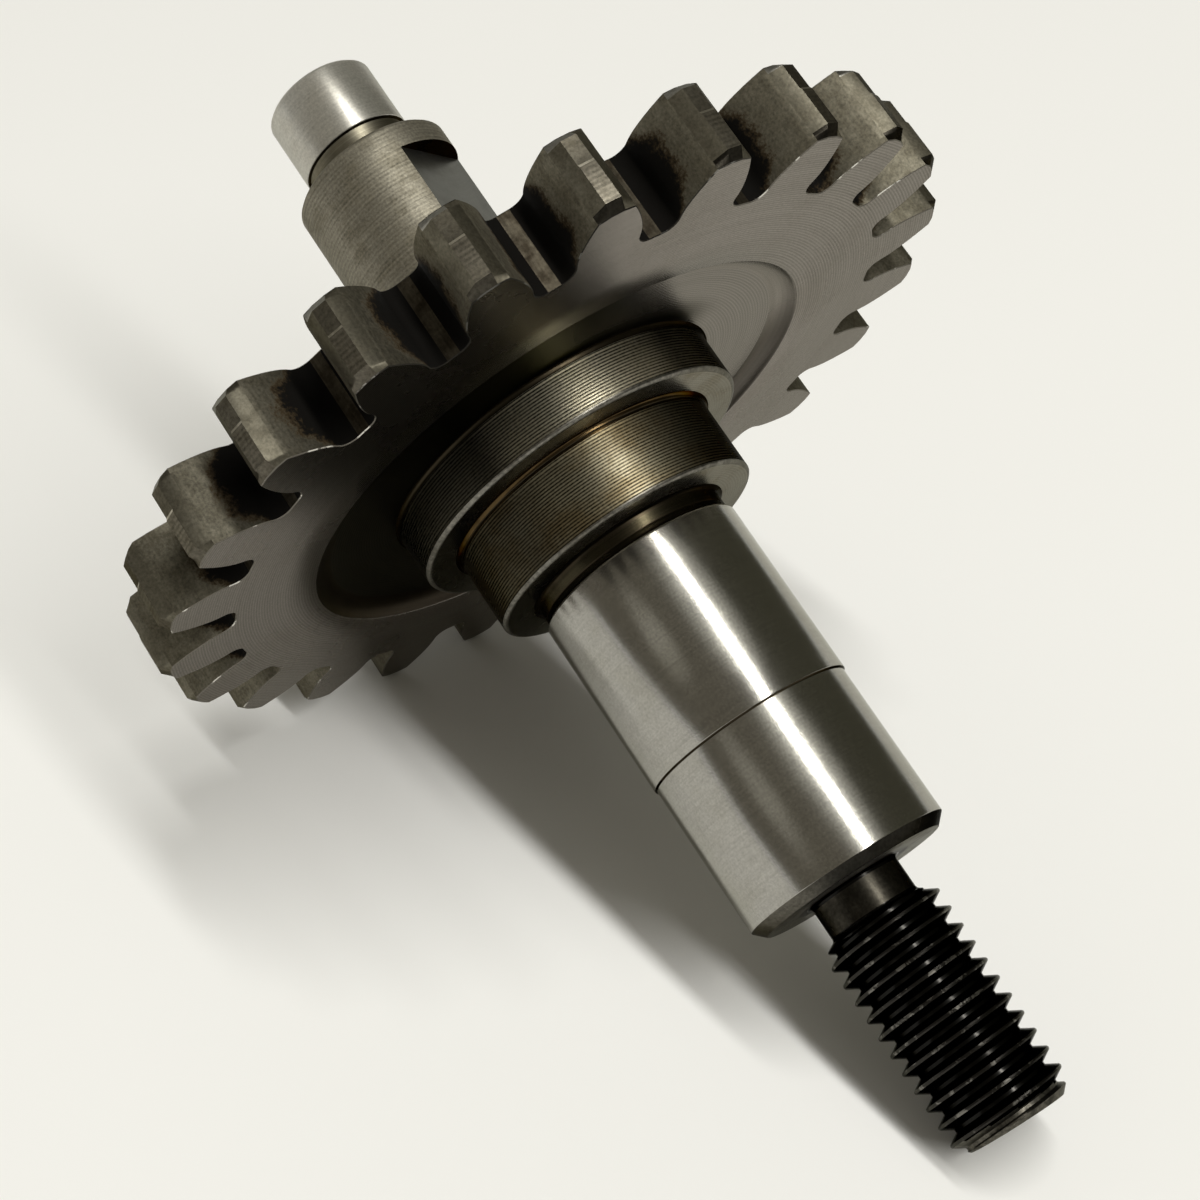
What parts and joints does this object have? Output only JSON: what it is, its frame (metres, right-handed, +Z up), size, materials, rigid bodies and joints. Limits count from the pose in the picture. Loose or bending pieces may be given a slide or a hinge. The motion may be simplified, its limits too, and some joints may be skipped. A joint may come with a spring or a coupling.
{
  "type": "water pump shaft",
  "caption": "One-piece turned steel pump shaft with an integral spur gear, stepped hub, ground journals, a flatted collar and a threaded end.",
  "frame": {"origin": "centre of the bounding box's base, on the surface that the shaft rests on", "axes": "+Z up; +X horizontally from the small journal towards the threaded end, which slopes down at 26.56 degrees because the shaft rests on two gear teeth and its thread's tip"},
  "size_m": [0.0912, 0.071, 0.0656],
  "materials": {
    "machined_steel": "turned and ground, lightly oiled"
  },
  "bodies": {
    "root": {"pump_shaft": "machined_steel"}
  },
  "joints": []
}
